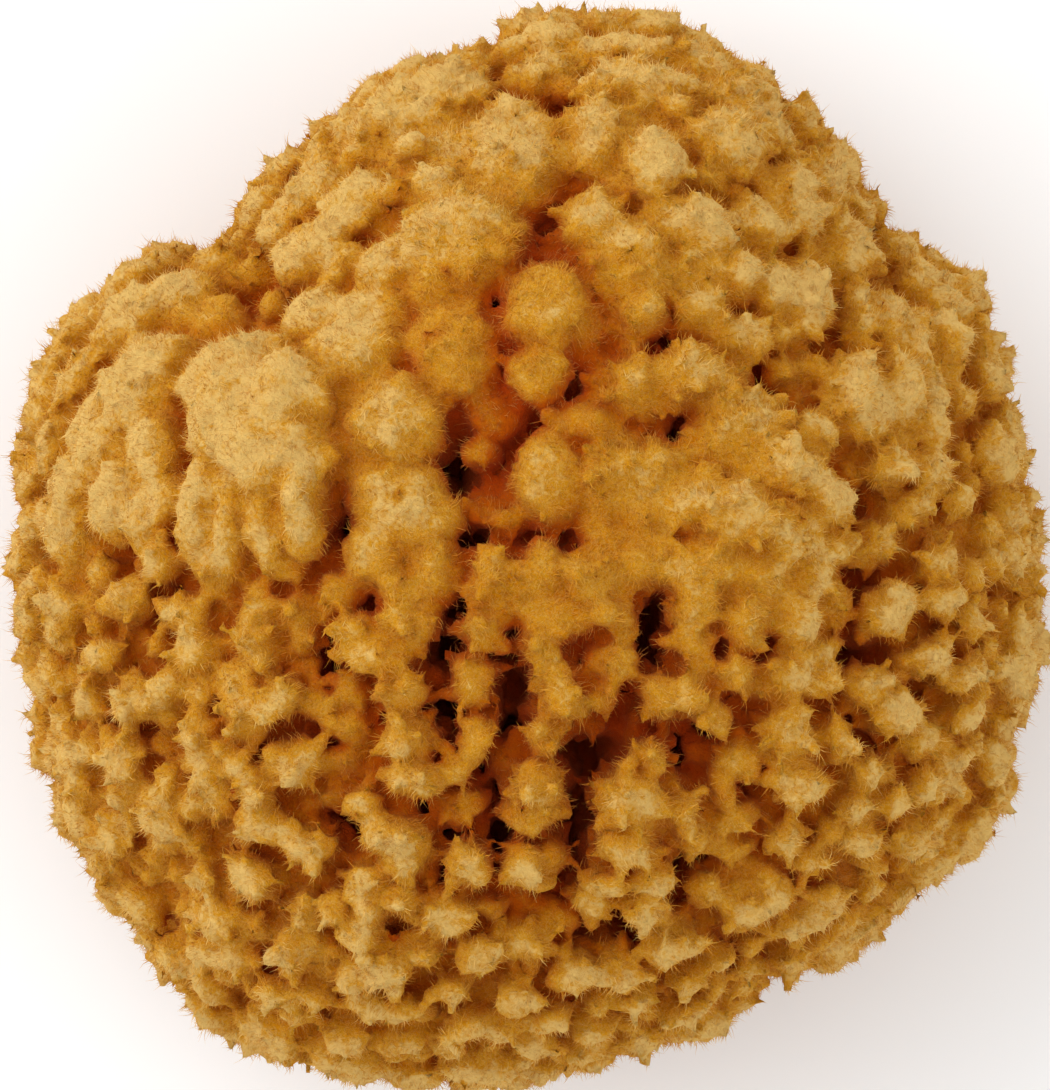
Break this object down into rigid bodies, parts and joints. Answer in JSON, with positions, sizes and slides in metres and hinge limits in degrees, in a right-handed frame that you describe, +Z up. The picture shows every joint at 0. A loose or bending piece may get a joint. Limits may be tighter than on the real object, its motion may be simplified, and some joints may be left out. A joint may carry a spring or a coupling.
{
  "type": "sea sponge",
  "caption": "Dried natural wool bath sponge: a lumpy golden dome of soft tufts, furrows and pits, cut off flat underneath where it grew, for washing or display.",
  "frame": {"origin": "middle of the bounding box, on the flat cut that the sponge rests on", "axes": "+Z up out of the crown, +Y towards the top of the picture that looks down on the crown, +X to its right"},
  "size_m": [0.157, 0.1646, 0.104],
  "materials": {
    "dry_sponge": "matte, matted golden fibres with paler tips and deep orange-brown hollows"
  },
  "bodies": {
    "root": {"sponge": "dry_sponge"}
  },
  "joints": []
}
